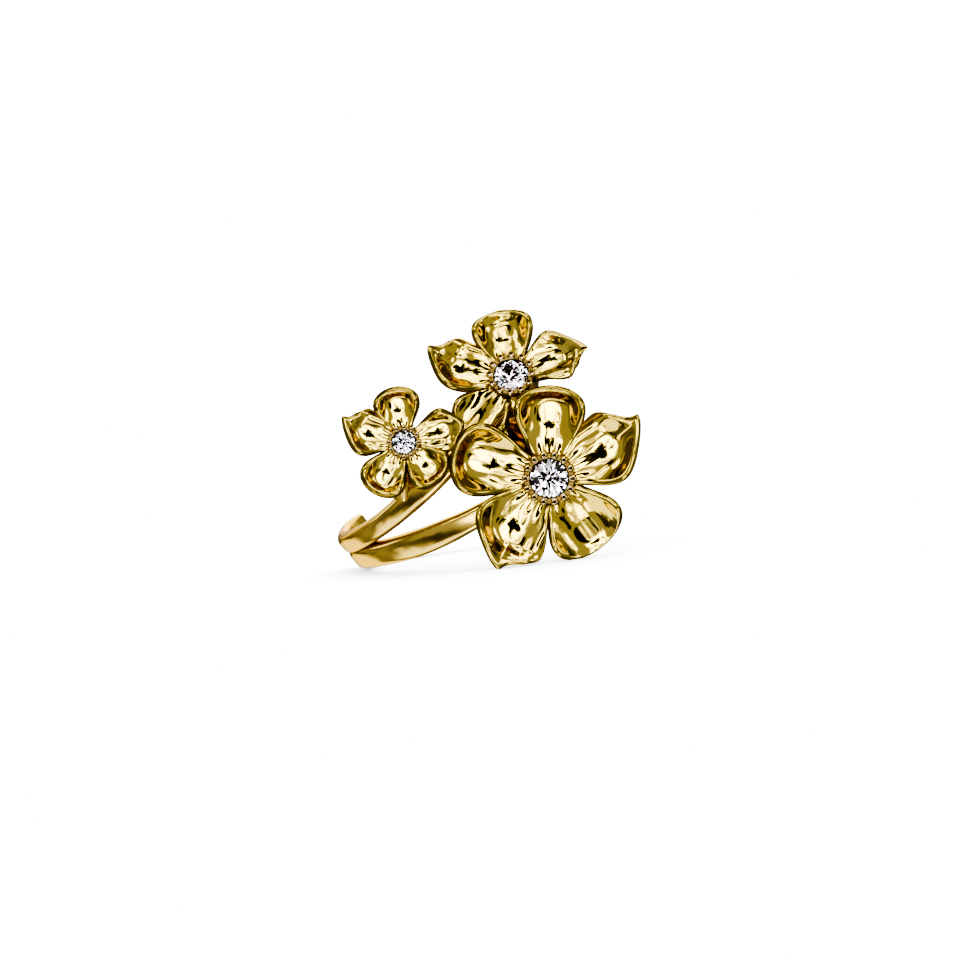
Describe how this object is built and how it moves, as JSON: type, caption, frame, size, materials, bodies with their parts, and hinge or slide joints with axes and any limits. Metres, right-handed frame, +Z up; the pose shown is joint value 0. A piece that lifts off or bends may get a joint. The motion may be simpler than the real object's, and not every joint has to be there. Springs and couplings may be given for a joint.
{
  "type": "flower ring",
  "caption": "Gold finger ring with three five-petalled flowers, each round a beaded brilliant, on a band that splits into two wires.",
  "frame": {"origin": "middle of the footprint's bounding box, on the table that the ring lies on", "axes": "+Z up; the flowers' faces look along -Y; +X to the right as seen from the front"},
  "size_m": [0.0208, 0.0215, 0.0167],
  "materials": {
    "gold": "polished yellow gold, 14 carat",
    "crystal": "polished colourless brilliant"
  },
  "bodies": {
    "root": {"flowers_and_band": "gold", "stone_large": "crystal", "stone_medium": "crystal", "stone_small": "crystal"}
  },
  "joints": []
}
